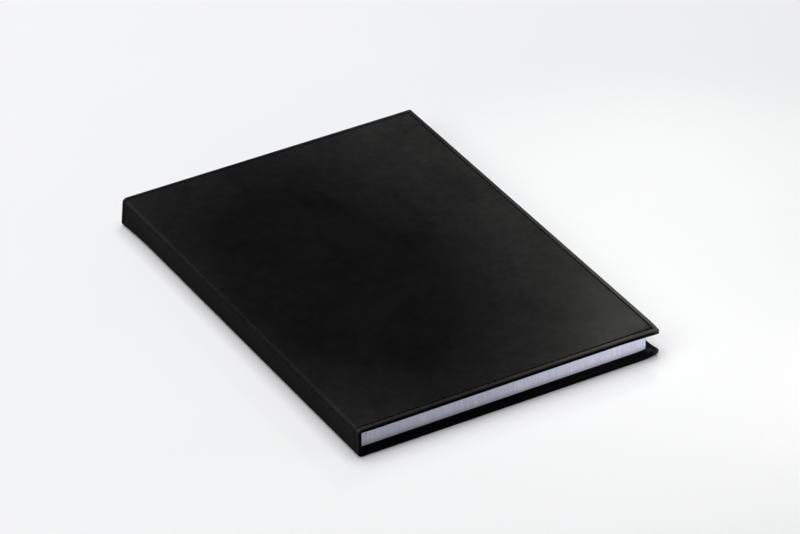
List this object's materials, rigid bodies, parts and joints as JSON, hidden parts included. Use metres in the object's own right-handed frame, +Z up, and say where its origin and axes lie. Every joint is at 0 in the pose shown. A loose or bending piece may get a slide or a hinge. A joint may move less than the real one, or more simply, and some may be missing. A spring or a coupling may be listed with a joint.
{
  "type": "softcover notebook",
  "caption": "Black leather-covered notebook with thin stiffened covers, stitched edges, a flexible spine and sewn sections of plain leaves that fan open.",
  "frame": {"origin": "middle of the closed notebook's box, on the underside of the back cover", "axes": "+X from the spine to the fore-edge, +Y from tail to head along the spine, +Z up through the leaves"},
  "size_m": [0.1546, 0.2186, 0.0143],
  "materials": {
    "leather": "satin black leather, fine grain",
    "stitching_thread": "black waxed thread",
    "card": "grey-brown binder's card",
    "endpaper": "matt black paper",
    "paper": "smooth bluish-white paper",
    "sewing_thread": "off-white linen thread",
    "gauze": "glued cotton gauze"
  },
  "bodies": {
    "back_cover": {"back_cover_leather": "leather", "back_card": "card", "back_lining": "endpaper", "back_stitching": "stitching_thread", "spine_leather": "leather", "spine_stitching": "stitching_thread", "spine_gauze": "gauze"},
    "section_01": {"section_01": "paper", "sewing_01": "sewing_thread", "back_flyleaf": "endpaper"},
    "section_02": {"section_02": "paper", "sewing_02": "sewing_thread"},
    "section_03": {"section_03": "paper", "sewing_03": "sewing_thread"},
    "section_04": {"section_04": "paper", "sewing_04": "sewing_thread"},
    "section_05": {"section_05": "paper", "sewing_05": "sewing_thread"},
    "section_06": {"section_06": "paper", "sewing_06": "sewing_thread"},
    "section_07": {"section_07": "paper", "sewing_07": "sewing_thread"},
    "section_08": {"section_08": "paper", "sewing_08": "sewing_thread"},
    "section_09": {"section_09": "paper", "sewing_09": "sewing_thread"},
    "section_10": {"section_10": "paper", "sewing_10": "sewing_thread"},
    "section_11": {"section_11": "paper", "sewing_11": "sewing_thread"},
    "section_12": {"section_12": "paper", "sewing_12": "sewing_thread", "front_flyleaf": "endpaper"},
    "front_cover": {"front_cover_leather": "leather", "front_card": "card", "front_lining": "endpaper", "front_stitching": "stitching_thread"}
  },
  "joints": [
    {"name": "section_01_hinge", "type": "hinge", "parent": "back_cover", "child": "section_01", "pos_m": [-0.07733, 0, 0.00215], "axis": [0, 1, 0], "range_deg": [-14, 0], "deforming": ["spine_leather", "spine_stitching", "spine_gauze"]},
    {"name": "section_02_hinge", "type": "hinge", "parent": "section_01", "child": "section_02", "pos_m": [-0.07733, 0, 0.00313], "axis": [0, 1, 0], "range_deg": [-14, 0]},
    {"name": "section_03_hinge", "type": "hinge", "parent": "section_02", "child": "section_03", "pos_m": [-0.07733, 0, 0.00394], "axis": [0, 1, 0], "range_deg": [-14, 0]},
    {"name": "section_04_hinge", "type": "hinge", "parent": "section_03", "child": "section_04", "pos_m": [-0.07733, 0, 0.00475], "axis": [0, 1, 0], "range_deg": [-14, 0]},
    {"name": "section_05_hinge", "type": "hinge", "parent": "section_04", "child": "section_05", "pos_m": [-0.07733, 0, 0.00556], "axis": [0, 1, 0], "range_deg": [-14, 0]},
    {"name": "section_06_hinge", "type": "hinge", "parent": "section_05", "child": "section_06", "pos_m": [-0.07733, 0, 0.00636], "axis": [0, 1, 0], "range_deg": [-14, 0]},
    {"name": "section_07_hinge", "type": "hinge", "parent": "section_06", "child": "section_07", "pos_m": [-0.07733, 0, 0.00717], "axis": [0, 1, 0], "range_deg": [-14, 0]},
    {"name": "section_08_hinge", "type": "hinge", "parent": "section_07", "child": "section_08", "pos_m": [-0.07733, 0, 0.00799], "axis": [0, 1, 0], "range_deg": [-14, 0]},
    {"name": "section_09_hinge", "type": "hinge", "parent": "section_08", "child": "section_09", "pos_m": [-0.07733, 0, 0.0088], "axis": [0, 1, 0], "range_deg": [-14, 0]},
    {"name": "section_10_hinge", "type": "hinge", "parent": "section_09", "child": "section_10", "pos_m": [-0.07733, 0, 0.00961], "axis": [0, 1, 0], "range_deg": [-14, 0]},
    {"name": "section_11_hinge", "type": "hinge", "parent": "section_10", "child": "section_11", "pos_m": [-0.07733, 0, 0.01042], "axis": [0, 1, 0], "range_deg": [-14, 0]},
    {"name": "section_12_hinge", "type": "hinge", "parent": "section_11", "child": "section_12", "pos_m": [-0.07733, 0, 0.01123], "axis": [0, 1, 0], "range_deg": [-14, 0]},
    {"name": "front_cover_hinge", "type": "hinge", "parent": "section_12", "child": "front_cover", "pos_m": [-0.07533, 0, 0.01435], "axis": [0, -1, 0], "range_deg": [0, 185]}
  ],
  "couplings": [
    {"joint": "section_02_hinge", "follows": "section_01_hinge", "ratio": 1},
    {"joint": "section_03_hinge", "follows": "section_01_hinge", "ratio": 1},
    {"joint": "section_04_hinge", "follows": "section_01_hinge", "ratio": 1},
    {"joint": "section_05_hinge", "follows": "section_01_hinge", "ratio": 1},
    {"joint": "section_06_hinge", "follows": "section_01_hinge", "ratio": 1},
    {"joint": "section_07_hinge", "follows": "section_01_hinge", "ratio": 1},
    {"joint": "section_08_hinge", "follows": "section_01_hinge", "ratio": 1},
    {"joint": "section_09_hinge", "follows": "section_01_hinge", "ratio": 1},
    {"joint": "section_10_hinge", "follows": "section_01_hinge", "ratio": 1},
    {"joint": "section_11_hinge", "follows": "section_01_hinge", "ratio": 1},
    {"joint": "section_12_hinge", "follows": "section_01_hinge", "ratio": 1}
  ]
}
